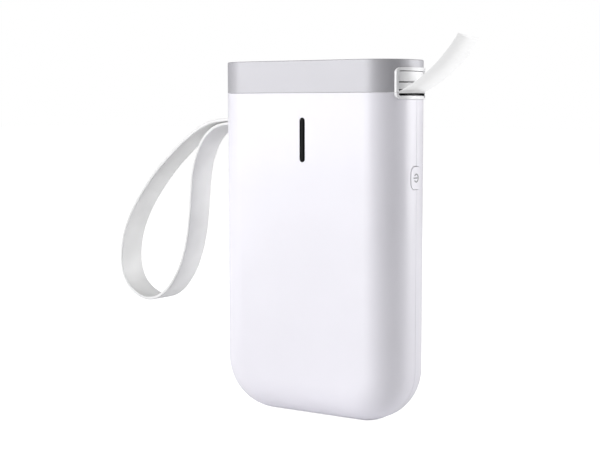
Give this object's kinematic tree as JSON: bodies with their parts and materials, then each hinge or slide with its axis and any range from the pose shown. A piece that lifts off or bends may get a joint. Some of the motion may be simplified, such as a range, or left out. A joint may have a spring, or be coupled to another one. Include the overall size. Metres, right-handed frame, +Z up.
{
  "type": "thermal label printer",
  "caption": "Hand-held thermal label printer with a two-part body, flip-up lid carrying the platen, label roll, geared paper drive, sprung print head and a flat wrist strap.",
  "frame": {"origin": "middle of the narrow flat that the body stands on", "axes": "+X to the end where labels come out, +Y to the back shell, +Z up to the lid"},
  "size_m": [0.1532, 0.0287, 0.1369],
  "materials": {
    "white_shell": "satin moulded plastic",
    "outlet_white": "bright satin moulded plastic",
    "grey_lid": "satin moulded plastic",
    "inner_plastic": "fine moulded texture",
    "nylon": "plain moulded",
    "steel": "bright",
    "brass": "turned",
    "motor_can": "drawn can",
    "rubber": "ground",
    "aluminium": "milled",
    "ceramic": "glazed",
    "paper": "smooth coated paper",
    "cardboard": "plain board",
    "board": "lacquered",
    "black_parts": "gloss",
    "led": "clear",
    "flex": "film",
    "battery_wrap": "foil pouch",
    "foam": "foam tape",
    "wire": "insulation",
    "strap_rubber": "smooth soft band"
  },
  "bodies": {
    "housing": {"front_shell": "white_shell", "back_shell": "white_shell", "outlet_lip": "outlet_white", "label_bay": "inner_plastic", "gap_sensor": "inner_plastic", "tact_switch": "inner_plastic", "mechanism_frame": "steel", "gear_clips": "steel", "guide_rod": "steel", "head_pivot_pin": "steel", "head_springs": "steel", "hinge_pin": "steel", "frame_screws": "steel", "deck_screws": "steel", "case_screws": "steel", "board_screws": "steel", "usb_socket": "steel", "paper_motor": "motor_can", "label_strip": "paper", "main_board": "board", "led_board": "board", "switch_board": "board", "board_chips": "black_parts", "flex_socket": "black_parts", "battery_plug": "black_parts", "usb_tongue": "black_parts", "indicator_lens": "black_parts", "tear_bar": "black_parts", "status_leds": "led", "head_flex": "flex", "battery": "battery_wrap", "battery_tape": "foam", "battery_lead": "wire", "strap": "strap_rubber", "strap_anchor": "strap_rubber"},
    "lid": {"lid_shell": "grey_lid", "lid_tray": "inner_plastic", "lid_screws": "steel", "outlet_bezel": "outlet_white", "outlet_guide": "outlet_white", "platen_bushes": "nylon", "release_spring": "steel"},
    "platen": {"platen_roller": "rubber", "platen_shaft": "steel", "platen_gear": "nylon"},
    "label_reel": {"label_roll": "paper", "roll_core": "cardboard"},
    "idler": {"idler_gear": "nylon"},
    "compound": {"compound_gear": "nylon"},
    "motor_rotor": {"motor_shaft": "steel", "motor_pinion": "brass"},
    "thermal_head": {"print_head": "aluminium", "head_ceramic": "ceramic"},
    "release": {"release_button": "outlet_white"},
    "power": {"power_button": "white_shell"}
  },
  "joints": [
    {"name": "lid_hinge", "type": "hinge", "parent": "housing", "child": "lid", "pos_m": [-0.0391, 0, 0.11785], "axis": [0, -1, 0], "range_deg": [0, 100]},
    {"name": "label_roll_spin", "type": "hinge", "parent": "housing", "child": "label_reel", "pos_m": [-0.011, 0, 0.093], "axis": [0, -1, 0], "continuous": true},
    {"name": "platen_spin", "type": "hinge", "parent": "lid", "child": "platen", "pos_m": [0.0255, 0, 0.122], "axis": [0, -1, 0], "continuous": true},
    {"name": "idler_spin", "type": "hinge", "parent": "housing", "child": "idler", "pos_m": [0.02304, 0, 0.11282], "axis": [0, -1, 0], "continuous": true},
    {"name": "compound_spin", "type": "hinge", "parent": "housing", "child": "compound", "pos_m": [0.0246, 0, 0.10396], "axis": [0, -1, 0], "continuous": true},
    {"name": "motor_spin", "type": "hinge", "parent": "housing", "child": "motor_rotor", "pos_m": [0.02189, 0, 0.09382], "axis": [0, -1, 0], "continuous": true},
    {"name": "print_head_rock", "type": "hinge", "parent": "housing", "child": "thermal_head", "pos_m": [0.0298, 0, 0.1123], "axis": [0, 1, 0], "range_deg": [-3, 0], "stiffness_Nm_per_rad": 0.4, "springref_deg": 2.86, "deforming": ["head_springs"]},
    {"name": "release_button_press", "type": "slide", "parent": "lid", "child": "release", "axis": [-1, 0, 0], "range_m": [0, 0.0012], "stiffness_N_per_m": 300, "springref_m": -0.001, "deforming": ["release_spring"]},
    {"name": "power_button_press", "type": "slide", "parent": "housing", "child": "power", "axis": [-1, 0, 0], "range_m": [0, 0.0005], "stiffness_N_per_m": 600, "springref_m": -0.0005}
  ],
  "couplings": [
    {"joint": "platen_spin", "follows": "label_roll_spin", "ratio": 4.625},
    {"joint": "idler_spin", "follows": "label_roll_spin", "ratio": -2.6979},
    {"joint": "compound_spin", "follows": "label_roll_spin", "ratio": 5.3958},
    {"joint": "motor_spin", "follows": "label_roll_spin", "ratio": -13.49}
  ]
}
